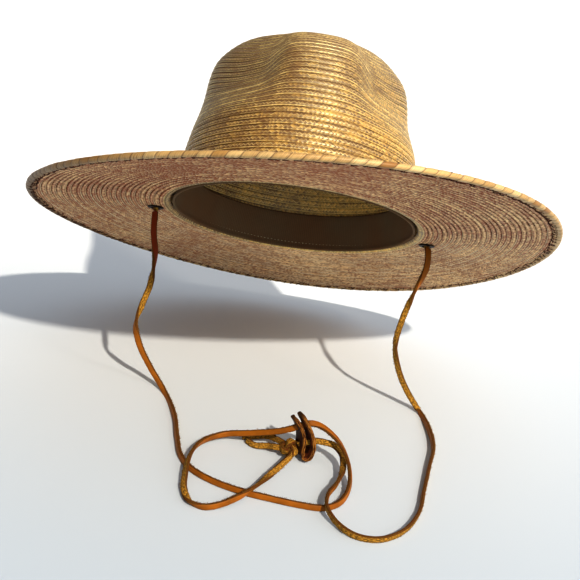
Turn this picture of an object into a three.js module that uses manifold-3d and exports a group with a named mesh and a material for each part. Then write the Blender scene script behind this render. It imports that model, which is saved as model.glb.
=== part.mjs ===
// Wide-brimmed straw hat, tilted back as a head wears it, with a leather lace through two brim eyelets.
// Millimetres. +X is to the viewer's right, -Y the hat's front and +Z up.
import * as THREE from 'three'
import { mergeVertices } from 'three/addons/utils/BufferGeometryUtils.js'
import Module from 'manifold-3d'

const wasm = await Module()
wasm.setup()
const { smoothstep, clamp, degToRad } = THREE.MathUtils

// Driving sizes. The hat's own frame has z = 0 at the brim's underside and z along the crown.
const tiltBack = degToRad(31)
const floorHeight = -130
const gap = 0.3
const straw = 1.8
const aroundSteps = 56
const crownBase = { side: 82.6, front: 100.6 }
const rim = { side: 172, front: 190 }
const seamOut = 3.2

// Rings of the crown: height, half width, reach to the front and reach to the back
const crownRings = [
  { height: 0, side: 82.6, front: 100.6, back: 100.6 },
  { height: 18.1, side: 79.4, front: 98.2, back: 98.8 },
  { height: 36.2, side: 76.4, front: 94.8, back: 96.4 },
  { height: 54.2, side: 73.2, front: 91, back: 93.8 },
  { height: 72.3, side: 72, front: 87, back: 90.8 },
  { height: 88.3, side: 71.2, front: 82.8, back: 87.4 },
  { height: 101.4, side: 67.6, front: 77.5, back: 82.5 },
  { height: 111, side: 59.2, front: 68, back: 73.5 },
  { height: 117.1, side: 48.5, front: 55, back: 60 },
  { height: 120.1, side: 33, front: 37, back: 42 },
  { height: 121.5, side: 16.5, front: 19, back: 22 },
  { height: 122, side: 0, front: 0, back: 0 }
]
// The crown's foot turns out to lie level with the brim
const crownFoot = [
  { out: seamOut, height: straw },
  { out: 1.9, height: straw },
  { out: 0.35, height: 2.4 },
  { out: -0.6, height: 3.8 }
]
// Where the side and the tip are cut into rings, counted along crownRings and close together at the creases
const tipSeam = 4.5
const halfSeam = 0.01
const sideCuts = [0.5, 1, 2, 3, 4, tipSeam - halfSeam]
const tipCuts = [tipSeam + halfSeam, 5, 5.5, 6, 6.5, 7, 7.5, 8, 8.6, 9.3, 10.1]
// Each pinch begins steeply at the ridge beside the front panel and runs out gently towards the side
const leftPinch = { angle: degToRad(45), inner: degToRad(24), outer: degToRad(38), depth: 16 }
const rightPinch = { angle: degToRad(50), inner: degToRad(25), outer: degToRad(40), depth: 15 }
const pinchRise = { from: 46, full: 88 }
const steep = 3.2
const gentle = 2.4
const dent = { depth: 8, centre: 14, length: 56, width: 34, taper: 0.5 }
const frontDrop = 9

const bandGap = 0.4
const bandThickness = 1.2
const bandFrom = 0.3
const bandRing = 1.45

const edge = { width: 4.5, height: 3.4, sides: 8 }
const eyelet = { x: 92, y: 14.5, hole: 3, barrel: 3.9, flange: 5.6, flangeThickness: 0.8, brimHole: 4.2 }
const laceRadius = 1.6
const lying = floorHeight + laceRadius

const colours = {
  straw: { color: 0xc9a25a, roughness: 0.45, metalness: 0 },
  brim: { color: 0xb08a6a, roughness: 0.75, metalness: 0 },
  edge: { color: 0xd9b76c, roughness: 0.55, metalness: 0 },
  band: { color: 0xb9aa92, roughness: 0.8, metalness: 0 },
  eyelet: { color: 0x1a1715, roughness: 0.35, metalness: 0.6 },
  lace: { color: 0xb8651b, roughness: 0.65, metalness: 0 },
  slide: { color: 0x6e3d18, roughness: 0.6, metalness: 0 }
}

const hat = new THREE.Group()
hat.rotation.x = -tiltBack
const group = new THREE.Group()
group.add(hat)

function addPiece (parent, name, geometry, look) {
  const mesh = new THREE.Mesh(geometry, new THREE.MeshStandardMaterial(look))
  mesh.name = name
  parent.add(mesh)
  return mesh
}

const hatToPart = point => point.applyAxisAngle(new THREE.Vector3(1, 0, 0), -tiltBack)

// A closed surface through loops of points, run upward outside and downward inside; one point is a pole
function loft (loops, closesOnItself) {
  const positions = []
  const addTriangle = (...corners) => corners.forEach(corner => positions.push(...corner.toArray()))
  const spans = closesOnItself ? loops.length : loops.length - 1
  for (let i = 0; i < spans; i++) {
    const near = loops[i]
    const far = loops[(i + 1) % loops.length]
    for (let k = 0; k < aroundSteps; k++) {
      const next = (k + 1) % aroundSteps
      if (near.length > 1) addTriangle(near[k], near[next], far[next % far.length])
      if (far.length > 1) addTriangle(near[k % near.length], far[next], far[k])
    }
  }
  const geometry = new THREE.BufferGeometry()
  geometry.setAttribute('position', new THREE.Float32BufferAttribute(positions, 3))
  geometry.computeVertexNormals()
  return geometry
}

// One loop round the hat; pointAt takes the turn from the front, counter-clockwise seen from above
function loopOf (pointAt) {
  return Array.from({ length: aroundSteps }, (_, k) => pointAt(2 * Math.PI * k / aroundSteps))
}

function ovalPoint (turn, side, front, height) {
  return new THREE.Vector3(side * Math.sin(turn), -front * Math.cos(turn), height)
}

function toSolid (geometry) {
  const bare = geometry.clone()
  bare.deleteAttribute('normal')
  bare.deleteAttribute('uv')
  const welded = mergeVertices(bare)
  const vertProperties = welded.attributes.position.array
  const triVerts = Uint32Array.from(welded.index.array)
  return new wasm.Manifold(new wasm.Mesh({ numProp: 3, vertProperties, triVerts }))
}

function toGeometry (solid) {
  const { vertProperties, triVerts } = solid.getMesh()
  const geometry = new THREE.BufferGeometry()
  geometry.setAttribute('position', new THREE.BufferAttribute(vertProperties, 3))
  geometry.setIndex(new THREE.BufferAttribute(triVerts, 1))
  geometry.computeVertexNormals()
  return geometry
}

// A rod from one point to another, used to cut holes
function rod (from, to, radius, sides) {
  const along = to.clone().sub(from)
  const geometry = new THREE.CylinderGeometry(radius, radius, along.length(), sides)
  const turn = new THREE.Quaternion().setFromUnitVectors(new THREE.Vector3(0, 1, 0), along.clone().normalize())
  geometry.applyQuaternion(turn)
  geometry.translate(...from.clone().addScaledVector(along, 0.5).toArray())
  return toSolid(geometry)
}

// Crown: a spline through the rings, with two front pinches, a teardrop dent and a lower front
const ringCurve = reach => new THREE.CatmullRomCurve3(
  crownRings.map(ring => new THREE.Vector3(ring.side, ring[reach], ring.height)), false, 'catmullrom')
const frontCurve = ringCurve('front')
const backCurve = ringCurve('back')

function ringAt (count, turn) {
  const curve = Math.cos(turn) > 0 ? frontCurve : backCurve
  const { x: side, y: reach, z: height } = curve.getPoint(count / (crownRings.length - 1))
  return { side, reach, height }
}

function crownPoint (turn, count) {
  const { side, reach, height } = ringAt(count, turn)
  const point = ovalPoint(turn, side, reach, height)
  point.z -= frontDrop * (1 - smoothstep(point.y, -80, 10)) * smoothstep(point.z, 40, 110)
  const width = side / crownBase.side
  const fromFront = Math.PI - Math.abs(Math.PI - turn)
  const pinch = turn < Math.PI ? rightPinch : leftPinch
  const off = fromFront - pinch.angle
  const bell = off < 0 ? Math.exp(-((-off / pinch.inner) ** steep)) : Math.exp(-((off / pinch.outer) ** gentle))
  const fade = (0.25 + 0.75 * smoothstep(width, 0.45, 0.8)) * smoothstep(width, 0.1, 0.5)
  const inward = pinch.depth * bell * fade * smoothstep(height, pinchRise.from, pinchRise.full)
  point.x -= inward * Math.sin(turn)
  point.y += inward * Math.cos(turn) * 0.9
  const along = (point.y - dent.centre) / dent.length
  const dentWidth = dent.width * (1 - dent.taper * clamp(0.5 - 0.5 * along, 0, 1))
  point.z -= dent.depth * (1 - smoothstep(Math.hypot(point.x / dentWidth, along), 0.35, 1.15))
  return point
}

// The inner skin lies one wall thickness in from the outer one, square to it
function innerSkin (loops, thickness) {
  return loops.map((loop, i) => loop.map((point, k) => {
    const above = loops[Math.min(i + 1, loops.length - 1)][k]
    const below = loops[Math.max(i - 1, 0)][k]
    const ahead = loop[(k + 1) % aroundSteps]
    const behind = loop[(k + aroundSteps - 1) % aroundSteps]
    const outward = ahead.clone().sub(behind).cross(above.clone().sub(below)).normalize()
    return point.clone().addScaledVector(outward, -thickness)
  }))
}

const crownLoops = cuts => cuts.map(count => loopOf(turn => crownPoint(turn, count)))

function makeCrownSide () {
  const foot = crownFoot.map(({ out, height }) => loopOf(turn =>
    ovalPoint(turn, crownBase.side + out, crownBase.front + out, height)))
  const outer = foot.concat(crownLoops(sideCuts))
  return loft([...outer, ...innerSkin(outer, straw).reverse()], true)
}

function makeCrownTip () {
  const outer = crownLoops(tipCuts)
  const inner = innerSkin(outer, straw).reverse()
  const topOutside = crownPoint(0, crownRings.length - 1)
  const topInside = topOutside.clone().setZ(topOutside.z - straw)
  return loft([[topInside], ...inner, ...outer, [topOutside]], false)
}

// Brim: level out to the eyelets, then rising or falling to the rim's gentle wave
const brimInside = seamOut + gap
const brimOutside = edge.width + gap
const levelShare = 0.15
const brimCuts = [0, levelShare, 0.4, 0.7, 1]

function rimLift (turn) {
  return -6.2 + 3 * Math.cos(turn) - 2.8 * Math.cos(2 * turn) + 4.7 * Math.sin(turn) + 4 * Math.sin(2 * turn)
}

function brimPoint (turn, share, height) {
  const side = THREE.MathUtils.lerp(crownBase.side + brimInside, rim.side - brimOutside, share)
  const front = THREE.MathUtils.lerp(crownBase.front + brimInside, rim.front - brimOutside, share)
  const rise = Math.max(0, (share - levelShare) / (1 - levelShare)) ** 1.2
  return ovalPoint(turn, side, front, height + rimLift(turn) * rise)
}

function makeBrim () {
  const under = brimCuts.map(share => loopOf(turn => brimPoint(turn, share, 0)))
  const over = brimCuts.map(share => loopOf(turn => brimPoint(turn, share, straw))).reverse()
  let plate = toSolid(loft([...under, ...over], true))
  for (const side of [-1, 1]) {
    const low = new THREE.Vector3(side * eyelet.x, eyelet.y, -5)
    const high = low.clone().setZ(straw + 5)
    plate = plate.subtract(rod(low, high, eyelet.brimHole, 20))
  }
  return toGeometry(plate)
}

function makeEdge () {
  const stretch = 1 / Math.cos(Math.PI / edge.sides)
  const loops = Array.from({ length: edge.sides }, (_, i) => {
    const angle = 2 * Math.PI * (i + 0.5) / edge.sides
    const out = -edge.width / 2 * (1 - stretch * Math.cos(angle))
    const up = straw / 2 + edge.height / 2 * stretch * Math.sin(angle)
    return loopOf(turn => ovalPoint(turn, rim.side + out, rim.front + out, up + rimLift(turn)))
  })
  return loft(loops, true)
}

// Sweatband: a plain strip inside the crown's foot
function makeSweatband () {
  const outFrom = straw + bandGap
  const strip = (count, inset) => loopOf(turn => {
    const { side, reach, height } = ringAt(count, turn)
    return ovalPoint(turn, side - inset, reach - inset, height + (count === 0 ? bandFrom : 0))
  })
  return loft([strip(0, outFrom), strip(bandRing, outFrom),
    strip(bandRing, outFrom + bandThickness), strip(0, outFrom + bandThickness)], true)
}

// Eyelet: a barrel with a flange above and below the brim, turned about the hole's axis
function makeEyelet () {
  const under = -gap
  const over = straw + gap
  const outline = [
    [eyelet.hole, under - eyelet.flangeThickness], [eyelet.flange, under - eyelet.flangeThickness],
    [eyelet.flange, under], [eyelet.barrel, under], [eyelet.barrel, over], [eyelet.flange, over],
    [eyelet.flange, over + eyelet.flangeThickness], [eyelet.hole, over + eyelet.flangeThickness]
  ]
  outline.push(outline[0])
  const geometry = new THREE.LatheGeometry(outline.map(([out, up]) => new THREE.Vector2(out, up)), 16)
  return geometry.rotateX(Math.PI / 2)
}

// Lace: a curve whose steps follow its hand-set points, so that bends keep more of them
class SteppedCurve extends THREE.CatmullRomCurve3 {
  getPointAt (share, target) {
    return this.getPoint(share, target)
  }

  getTangentAt (share, target) {
    return this.getTangent(share, target)
  }

  getSpacedPoints (steps) {
    return this.getPoints(steps)
  }
}

const point = ([x, y, z]) => new THREE.Vector3(x, y, z)

// From the left eyelet down to the floor, round and up to the slide's upper holes
const leftStrand = [
  [-91.5, 8.5, -13], [-90.5, 2, -22], [-87.5, -5, -34.5], [-88, -12, -54], [-92, -15, -69],
  [-94.5, -16, -82.5], [-90.5, -15, -98], [-82.5, -12, -114.5], [-72, -16, -128], [-60, -49.5, lying],
  [-55, -77, lying], [-50, -99, lying], [-42, -112, lying], [-27.5, -122.5, lying], [-9.5, -129.5, lying],
  [8.5, -133, lying], [25.5, -135.5, lying], [39, -135.5, lying], [48, -129.5, lying], [54, -117.5, -127.5],
  [56, -104, -124.5], [53.5, -92, -118.5], [47, -84, -111.5], [37.5, -80.5, -105.5], [31.5, -80, -103.5],
  [27.5, -80, -103.5], [21, -80, -106.5]
].map(point)
// From the slide round the loop and back to the knot's front
const loopStrand = [
  [17.5, -80, -108.5], [11.5, -79.5, -111.5], [4.5, -78, -114.5], [-9.5, -74, -120], [-24, -72, -124],
  [-34.5, -78.5, -125], [-41, -89.5, -124.5], [-44.5, -105.5, -124.5], [-45, -123, -126], [-44, -135.5, -128],
  [-39, -147.5, lying], [-30.5, -150.5, lying], [-21.5, -147.5, -127], [-12, -141, -125],
  [-4.5, -131.5, -124.5], [4, -116, -125], [12, -100, -125], [18, -87.5, -124.5], [18.2, -84.4, -124.3]
].map(point)
// From the right eyelet down to the floor, round and through the slide's lower holes to the knot
const rightStrand = [
  [93, 6, -10], [93, 0, -19], [87.5, -5, -36], [83, -6, -56.5], [82, -4, -76], [88.5, 1, -97.5],
  [98, 5, -115], [108, 4, -128], [113, -19, -128], [114, -47.5, -127], [108.5, -75.5, -127.5],
  [103, -102.5, lying], [97.5, -128, lying], [86, -149.5, lying], [71.5, -160, lying], [58.5, -159.5, lying],
  [48, -152.5, -126.5], [41.5, -140.5, -124.5], [42, -126, -124.5], [47.5, -112.5, -124.5], [51.5, -95.5, -124],
  [50.5, -83, -121], [45, -79, -117.5], [38.5, -79.5, -116], [33, -80, -115.5], [28, -80, -117],
  [24, -80, -118.5], [22, -80, -119.7]
].map(point)
const upperTail = [
  [14.7, -76.8, -123.2], [12.7, -74.9, -123], [3.4, -66, -125], [-5.3, -64.7, -127], [-13.5, -65.9, lying]
].map(point)
const lowerTail = [
  [13.7, -79.9, -124], [8.4, -79.7, -124], [3.9, -76.3, -126], [-5.2, -74.2, -128], [-10.1, -69.6, lying]
].map(point)

// Hidden stretch over the brim, from one eyelet round the crown's back to the other, in the hat's frame
function backStretch () {
  const leaving = [[92, 15.1, 1], [92, 16.2, 7.5], [91, 22, 10.8], [88.5, 31, 9.5], [84.5, 42, 5.8]]
  const from = degToRad(120)
  const steps = 8
  const oval = Array.from({ length: steps + 1 }, (_, i) => {
    const turn = from + (2 * Math.PI - 2 * from) * i / steps
    return ovalPoint(turn, crownBase.side + 8.5, crownBase.front + 8.5, straw + 2)
  })
  const right = leaving.map(point)
  const left = leaving.map(([x, y, z]) => new THREE.Vector3(-x, y, z)).reverse()
  return [...right, ...oval, ...left].map(hatToPart)
}

function makeTube (points) {
  const section = new THREE.Shape(Array.from({ length: 8 }, (_, i) =>
    new THREE.Vector2(laceRadius, 0).rotateAround(new THREE.Vector2(), i * Math.PI / 4)))
  const extrudePath = new SteppedCurve(points, false, 'centripetal')
  return new THREE.ExtrudeGeometry(section, { steps: points.length - 1, extrudePath })
}

// Slide: a leather strip folded in two, seen along +Y, with two holes through both layers
const slide = { thickness: 2.4, from: -86, to: -74, hole: 2.5 }
const slideFold = [
  [20.5, -95], [25, -101], [31, -109], [33.5, -118], [33, -125], [30, -128.6],
  [27, -126], [26.5, -120], [25.5, -113.5], [21, -107], [15.5, -100.5]
]
const slideHoles = [
  { from: point([33.5, -80, -101]), to: point([15.5, -80, -109.6]) },
  { from: point([40, -80, -113.7]), to: point([22.5, -80, -119]) }
]

function makeSlide () {
  const middle = new THREE.SplineCurve(slideFold.map(([x, z]) => new THREE.Vector2(x, z)))
  const shares = Array.from({ length: 25 }, (_, i) => i / 24)
  const sideLine = side => shares.map(share => {
    const across = middle.getTangent(share).rotateAround(new THREE.Vector2(), Math.PI / 2)
    return middle.getPoint(share).addScaledVector(across, side * slide.thickness / 2)
  })
  const strip = new THREE.Shape([...sideLine(1), ...sideLine(-1).reverse()])
  const geometry = new THREE.ExtrudeGeometry(strip, { depth: slide.to - slide.from, bevelEnabled: false })
  geometry.rotateX(Math.PI / 2)
  geometry.translate(0, slide.to, 0)
  return toGeometry(slideHoles.reduce((solid, { from, to }) =>
    solid.subtract(rod(from, to, slide.hole, 12)), toSolid(geometry)))
}

// Knot: a round core and two turns of lace pulled tight on it, with a pocket where each strand goes in
const knotCentre = point([18.2, -80, -124])
const knot = { core: 4.9, turnRadius: 4, laceRadius: 1.6, pocket: 2.1 }
const knotTurns = [{ lean: degToRad(35), swing: degToRad(20) }, { lean: degToRad(-40), swing: degToRad(70) }]

function makeKnot () {
  let solid = toSolid(new THREE.SphereGeometry(knot.core, 14, 9).translate(...knotCentre.toArray()))
  for (const { lean, swing } of knotTurns) {
    const turn = new THREE.TorusGeometry(knot.turnRadius, knot.laceRadius, 7, 16)
    turn.rotateX(Math.PI / 2 + lean).rotateZ(swing).translate(...knotCentre.toArray())
    solid = solid.add(toSolid(turn))
  }
  const strandEnds = [loopStrand.slice(-2).reverse(), rightStrand.slice(-2).reverse(), upperTail, lowerTail]
  for (const [end, next] of strandEnds) {
    const outward = next.clone().sub(end).normalize()
    const bottom = end.clone().addScaledVector(outward, -gap)
    const mouth = end.clone().addScaledVector(outward, 9)
    solid = solid.subtract(rod(bottom, mouth, knot.pocket, 10))
  }
  return toGeometry(solid)
}

addPiece(hat, 'crown_side', makeCrownSide(), colours.straw)
addPiece(hat, 'crown_tip', makeCrownTip(), colours.straw)
addPiece(hat, 'brim', makeBrim(), colours.brim)
addPiece(hat, 'brim_edge', makeEdge(), colours.edge)
addPiece(hat, 'sweatband', makeSweatband(), colours.band)
for (const [name, side] of [['eyelet_left', -1], ['eyelet_right', 1]]) {
  addPiece(hat, name, makeEyelet(), colours.eyelet).position.set(side * eyelet.x, eyelet.y, 0)
}
const laceRoute = [...rightStrand.slice().reverse(), ...backStretch(), ...leftStrand, ...loopStrand]
addPiece(group, 'chin_lace', makeTube(laceRoute), colours.lace)
addPiece(group, 'lace_tail_upper', makeTube(upperTail), colours.lace)
addPiece(group, 'lace_tail_lower', makeTube(lowerTail), colours.lace)
addPiece(group, 'lace_slide', makeSlide(), colours.slide)
addPiece(group, 'lace_knot', makeKnot(), colours.lace)

export default group
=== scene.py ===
"""A wide-brimmed straw fedora with a leather chin lace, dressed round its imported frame."""
import math

import bpy
import numpy as np
from bpy.props import FloatProperty, FloatVectorProperty, IntProperty, PointerProperty
from mathutils import Matrix, Vector


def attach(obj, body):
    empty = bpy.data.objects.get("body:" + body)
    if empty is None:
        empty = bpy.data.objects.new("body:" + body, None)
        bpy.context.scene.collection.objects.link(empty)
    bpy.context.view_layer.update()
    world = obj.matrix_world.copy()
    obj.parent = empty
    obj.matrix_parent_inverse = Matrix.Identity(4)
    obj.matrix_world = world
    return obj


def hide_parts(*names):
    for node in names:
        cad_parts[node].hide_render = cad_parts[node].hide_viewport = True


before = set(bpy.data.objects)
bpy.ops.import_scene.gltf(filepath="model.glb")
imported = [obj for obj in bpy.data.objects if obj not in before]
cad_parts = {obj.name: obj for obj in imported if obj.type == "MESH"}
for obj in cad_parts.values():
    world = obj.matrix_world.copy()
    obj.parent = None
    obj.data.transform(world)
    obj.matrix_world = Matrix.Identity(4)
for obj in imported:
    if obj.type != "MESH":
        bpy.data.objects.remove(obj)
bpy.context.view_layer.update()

bl_info = {
    "name": "Straw fedora with a leather chin lace",
    "version": (1, 0, 0),
    "blender": (4, 5, 0),
    "location": "3D View > Sidebar > Straw Fedora",
    "description": "Lays sewn palm plait, a wrapped edging, a sweatband and a lace on the hat's frame",
    "category": "Add Mesh",
}

BODY = "root"

# Sizes in millimetres, in the hat's own frame: z runs up along the crown from the brim's underside
MM = 0.001
TILT_BACK = math.radians(31)
FLOOR_Z = -130.0
STRAW = 1.8
CROWN_SIDE = 82.6
CROWN_FRONT = 100.6
SEAM_OUT = 3.2
RIM_SIDE = 172.0
RIM_FRONT = 190.0
RIM_LENGTH = math.pi * (RIM_SIDE + RIM_FRONT)
EDGE_HALF_WIDTH = 2.25
EDGE_HALF_HEIGHT = 1.7
EYELET_X, EYELET_Y = 92, 14.5
EYELET_HOLE_RADIUS = 4.0

# The brim's plait ends this far inside the rim, and rises only beyond this share of its width
UNDER_EDGING = 3.0
LEVEL_SHARE = 0.15

# Rings of the crown: height, half width, reach to the front and reach to the back
CROWN_RINGS = np.array([
    (0, 82.6, 100.6, 100.6), (18.1, 79.4, 98.2, 98.8), (36.2, 76.4, 94.8, 96.4), (54.2, 73.2, 91, 93.8),
    (72.3, 72, 87, 90.8), (88.3, 71.2, 82.8, 87.4), (101.4, 67.6, 77.5, 82.5), (111, 59.2, 68, 73.5),
    (117.1, 48.5, 55, 60), (120.1, 33, 37, 42), (121.5, 16.5, 19, 22), (122, 0, 0, 0)])
# Pinches beside the front: degrees from the front, half angles towards the front and the side, and depth
LEFT_PINCH = {"angle": 45, "inner": 24, "outer": 38, "depth": 16}
RIGHT_PINCH = {"angle": 50, "inner": 25, "outer": 40, "depth": 15}
# Heights between which a pinch deepens, and how steeply it ends towards the front and towards the side
PINCH_RISE = (46, 88)
STEEP = 3.2
GENTLE = 2.4
# The dent along the top, how much lower the top's front lies, and the radius of the bend at the foot
DENT = {"depth": 8, "centre": 14, "length": 56, "width": 34, "taper": 0.5}
FRONT_DROP = 9
FOOT_BEND = 2.15

# How far a plait row stands out along its width: share of the row, and millimetres off the plain shape
CROWN_ROW_PROFILE = ((0.03, -0.2), (0.1, 0.22), (0.5, 0.3), (0.86, 0.0), (0.95, -0.5))
BRIM_ROW_PROFILE = ((0.03, -0.35), (0.14, 0.12), (0.56, 0.2), (0.9, -0.05))
# A strip ends just short of the whole number at which the next row's tones start
ROW_END = 0.999


def linear(hex_colour):
    """An sRGB hex colour as the linear red, green and blue that Blender works in."""
    shares = [int(hex_colour[i:i + 2], 16) / 255 for i in (1, 3, 5)]
    return tuple(s / 12.92 if s <= 0.04045 else ((s + 0.055) / 1.055) ** 2.4 for s in shares)


def smooth(low, high, value):
    """A soft step from 0 at low to 1 at high."""
    share = np.clip((value - low) / (high - low), 0, 1)
    return share * share * (3 - 2 * share)


class FedoraSizes(bpy.types.PropertyGroup):
    """Sizes of the plait, the edging and the lace that a maker would change."""

    crown_row: FloatProperty(
        name="Crown row", description="Width of one plait row on the crown", default=0.004, unit="LENGTH")
    brim_row: FloatProperty(
        name="Brim row", description="Width of one plait row on the brim", default=0.0033, unit="LENGTH")
    plait_pitch: FloatProperty(
        name="Plait pitch", description="Length of one crossing of the plait", default=0.0031,
        unit="LENGTH")
    wrap_length: FloatProperty(
        name="Wrap length", description="Length of rim that one wrap covers", default=0.0082, unit="LENGTH")
    stitch_pitch: FloatProperty(
        name="Stitch pitch", description="Distance between stitches at the rim", default=0.0052,
        unit="LENGTH")
    lace_width: FloatProperty(
        name="Lace width", description="Width of the flat lace", default=0.004, unit="LENGTH")
    lace_thickness: FloatProperty(
        name="Lace thickness", description="Thickness of the flat lace", default=0.0022, unit="LENGTH")
    around: IntProperty(
        name="Steps around", description="Steps round the hat in its plaited pieces", default=240, min=60)


class FedoraColours(bpy.types.PropertyGroup):
    """Colours of the straw, the thread, the band and the leather."""

    crown_light: FloatVectorProperty(
        name="Crown light", description="Bright strands of the crown", subtype="COLOR",
        default=linear("#f8c864"))
    crown_dark: FloatVectorProperty(
        name="Crown dark", description="Dull strands of the crown", subtype="COLOR",
        default=linear("#6e420e"))
    brim_light: FloatVectorProperty(
        name="Brim light", description="Pale strands of the brim", subtype="COLOR", default=linear("#fcd8a0"))
    brim_dark: FloatVectorProperty(
        name="Brim dark", description="Red-brown strands of the brim", subtype="COLOR",
        default=linear("#a4603c"))
    edging: FloatVectorProperty(
        name="Edging", description="Cream wraps of the edging", subtype="COLOR", default=linear("#d2b078"))
    thread: FloatVectorProperty(
        name="Thread", description="Stitches beside the edging", subtype="COLOR", default=linear("#3c1a12"))
    band: FloatVectorProperty(
        name="Sweatband", description="Cotton of the sweatband", subtype="COLOR", default=linear("#745234"))
    grain: FloatVectorProperty(
        name="Grain side", description="Smooth side of the lace", subtype="COLOR", default=linear("#a6640e"))
    suede: FloatVectorProperty(
        name="Suede side", description="Rough side of the lace", subtype="COLOR", default=linear("#cb983c"))
    slide: FloatVectorProperty(
        name="Slide", description="Leather of the slide", subtype="COLOR", default=linear("#3a120a"))
    floor: FloatVectorProperty(
        name="Floor", description="Plain pale floor", subtype="COLOR", default=linear("#c4d0de"))


def to_part(points):
    """Points of the hat's frame, in millimetres, as points of the part's frame in metres."""
    points = np.asarray(points, float)
    across, back, up = points[..., 0], points[..., 1], points[..., 2]
    cos, sin = math.cos(TILT_BACK), math.sin(TILT_BACK)
    return np.stack([across, back * cos + up * sin, up * cos - back * sin], -1) * MM


def all_round(count):
    """Evenly spaced turns round the hat."""
    return np.arange(count) * 2 * np.pi / count


def finish_piece(piece, material, slot, *nodes):
    """Gives a piece its material and the nodes it stands for; the slot that it takes its finish from is not
    used.
    """
    piece.data.materials.append(material)
    for polygon in piece.data.polygons:
        polygon.use_smooth = True
    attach(piece, BODY)
    if nodes:
        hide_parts(*nodes)
    return piece


def new_object(name, points, faces, uv=None, uv_name="rows"):
    """A mesh object from points in metres, its faces and, face corner by face corner, its UV map."""
    mesh = bpy.data.meshes.new(name)
    mesh.from_pydata(np.asarray(points).tolist(), [], faces)
    if uv is not None:
        layer = mesh.uv_layers.new(name=uv_name)
        layer.data.foreach_set("uv", np.asarray(uv, float).ravel())
    mesh.update()
    piece = bpy.data.objects.new(name, mesh)
    bpy.context.scene.collection.objects.link(piece)
    return piece


def loft(name, loops, counts, across, closed, poles=None, uv_name="rows"):
    """A surface through loops round the hat: counts gives the repeats round it and across each loop's place
    in the rows, both for the strip that starts at the loop. Two poles close a shell that isn't a ring."""
    loops = np.asarray(loops, float)
    levels, steps = loops.shape[:2]
    near = np.arange(levels if closed else levels - 1)
    far = (near + 1) % levels
    here = np.arange(steps)
    ahead = (here + 1) % steps
    corners = [(near, here), (near, ahead), (far, ahead), (far, here)]
    faces = np.stack([level[:, None] * steps + place for level, place in corners], -1).reshape(-1, 4)
    counts = np.asarray(counts, float)[near]
    start, end = (np.asarray(side, float)[near] for side in across)
    round_here = counts[:, None] * here[None, :] / steps
    round_ahead = counts[:, None] * (here + 1)[None, :] / steps
    low = np.repeat(start[:, None], steps, 1)
    high = np.repeat(end[:, None], steps, 1)
    uv = np.stack([np.stack(pair, -1) for pair in (
        (round_here, low), (round_ahead, low), (round_ahead, high), (round_here, high))], 2).reshape(-1, 2)
    points = loops.reshape(-1, 3)
    faces = faces.tolist()
    uv = uv.tolist()
    if poles:
        first, last = len(points), len(points) + 1
        points = np.vstack([points, poles])
        top = (levels - 1) * steps
        for k in range(steps):
            after = (k + 1) % steps
            faces.append([first, after, k])
            uv += [[k, start[0]], [k + 1, start[0]], [k, start[0]]]
            faces.append([top + k, top + after, last])
            uv += [[k, end[-1]], [k + 1, end[-1]], [k, end[-1]]]
    return new_object(name, to_part(points), faces, uv, uv_name)


def first_output(node):
    """The first of a node's sockets that its settings leave in use."""
    return next(output for output in node.outputs if output.enabled)


def add_node(tree, kind, inputs=(), **settings):
    """One node with its settings and what goes into its sockets: numbers, colours, sockets or whole nodes, in
    the sockets' order or by their names."""
    node = tree.nodes.new("ShaderNode" + kind)
    for place, colour in settings.pop("stops", ()):
        ramp = node.color_ramp.elements
        stop = ramp[0] if place == 0 else ramp[-1] if place == 1 else ramp.new(place)
        stop.color = (*colour, 1)
    for name, value in settings.items():
        setattr(node, name, value)
    usable = [socket for socket in node.inputs if socket.enabled]
    named = {socket.name: socket for socket in usable}
    pairs = inputs.items() if isinstance(inputs, dict) else enumerate(inputs)
    for key, value in pairs:
        socket = usable[key] if isinstance(key, int) else named[key]
        if isinstance(value, bpy.types.Node):
            value = first_output(value)
        if isinstance(value, bpy.types.NodeSocket):
            tree.links.new(value, socket)
        elif hasattr(value, "__len__") and len(value) + 1 == len(socket.default_value):
            socket.default_value = (*value, 1)
        else:
            socket.default_value = value
    return node


def new_material(name, **numbers):
    """A material whose one shader has its plain numbers set; gives the material, its tree and the shader."""
    material = bpy.data.materials.new(name)
    material.use_nodes = True
    tree = material.node_tree
    shader = tree.nodes["Principled BSDF"]
    for socket, value in numbers.items():
        shader.inputs[socket.replace("_", " ")].default_value = value
    return material, tree, shader


def colour_and_relief(tree, shader, colour, height, strength, distance):
    """Joins a pattern's colour and its height to the shader."""
    relief = add_node(tree, "Bump", {"Strength": strength, "Distance": distance, "Height": height})
    tree.links.new(first_output(colour), shader.inputs["Base Color"])
    tree.links.new(relief.outputs[0], shader.inputs["Normal"])


# Across the hat, the middle of the flat front between the two pinches
FLAT_MIDDLE = 0.014


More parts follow.
